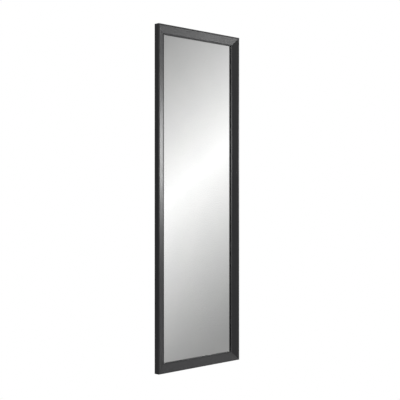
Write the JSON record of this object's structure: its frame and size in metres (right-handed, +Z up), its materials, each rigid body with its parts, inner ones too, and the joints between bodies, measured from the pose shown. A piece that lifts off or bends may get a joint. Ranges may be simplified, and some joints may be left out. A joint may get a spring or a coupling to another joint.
{
  "type": "pull-out closet mirror",
  "caption": "Tall framed mirror on a telescopic slide behind it, with a vertical pivot at its leading edge, for the side wall of a wardrobe.",
  "frame": {"origin": "centre of the wall plate's four holes, on the face that lies against the wardrobe's side wall", "axes": "+Z up along the mirror's height, +Y into the wall, the mirror faces -Y and pulls out towards -X"},
  "size_m": [0.4, 0.043, 1.2],
  "materials": {
    "frame_lacquer": "satin black lacquer on a mitred moulding",
    "mirror": "silvered float glass",
    "film": "matt safety film",
    "foam_tape": "closed-cell foam tape",
    "fibreboard": "pressed fibreboard, smooth side out",
    "zinc_steel": "bright zinc plating on rolled steel",
    "cage_steel": "plain stamped steel strip",
    "ball_steel": "polished bearing steel",
    "screw_steel": "zinc plated, turned",
    "spring_steel": "blued spring steel strip",
    "black_powder": "fine-textured black powder coat",
    "bush_nylon": "natural nylon",
    "bumper_rubber": "moulded black rubber",
    "catch_plastic": "moulded black plastic",
    "ferrite": "sintered ferrite"
  },
  "bodies": {
    "root": {"wall_plate": "black_powder", "cabinet_member": "zinc_steel", "rear_bumper": "bumper_rubber"},
    "outer_cage_set": {"outer_cage": "cage_steel", "outer_balls": "ball_steel"},
    "middle": {"middle_member": "zinc_steel"},
    "inner_cage_set": {"inner_cage": "cage_steel", "inner_balls": "ball_steel"},
    "carriage": {"runner": "zinc_steel", "carriage_bracket": "black_powder", "bracket_screws": "screw_steel", "pivot_bushes": "bush_nylon", "catch_body": "catch_plastic", "catch_magnet": "ferrite", "catch_poles": "zinc_steel"},
    "mirror": {"stile_left": "frame_lacquer", "stile_right": "frame_lacquer", "rail_top": "frame_lacquer", "rail_bottom": "frame_lacquer", "corner_nails": "spring_steel", "mirror_glass": "mirror", "safety_film": "film", "mirror_tape": "foam_tape", "backing_board": "fibreboard", "glazing_points": "spring_steel", "hinge_plate": "black_powder", "hinge_screws": "screw_steel", "pivot_pin": "screw_steel", "pin_clip": "spring_steel", "strike_plate": "zinc_steel"}
  },
  "joints": [
    {"name": "pull_out", "type": "slide", "parent": "root", "child": "carriage", "axis": [-1, 0, 0], "range_m": [0, 0.35]},
    {"name": "middle_slide", "type": "slide", "parent": "root", "child": "middle", "axis": [-1, 0, 0], "range_m": [0, 0.175]},
    {"name": "outer_cage_slide", "type": "slide", "parent": "root", "child": "outer_cage_set", "axis": [-1, 0, 0], "range_m": [0, 0.0875]},
    {"name": "inner_cage_slide", "type": "slide", "parent": "root", "child": "inner_cage_set", "axis": [-1, 0, 0], "range_m": [0, 0.2625]},
    {"name": "swing", "type": "hinge", "parent": "carriage", "child": "mirror", "pos_m": [-0.196, -0.0115, 0], "axis": [0, 0, -1], "range_deg": [0, 90]}
  ],
  "couplings": [
    {"joint": "middle_slide", "follows": "pull_out", "ratio": 0.5},
    {"joint": "outer_cage_slide", "follows": "pull_out", "ratio": 0.25},
    {"joint": "inner_cage_slide", "follows": "pull_out", "ratio": 0.75}
  ]
}
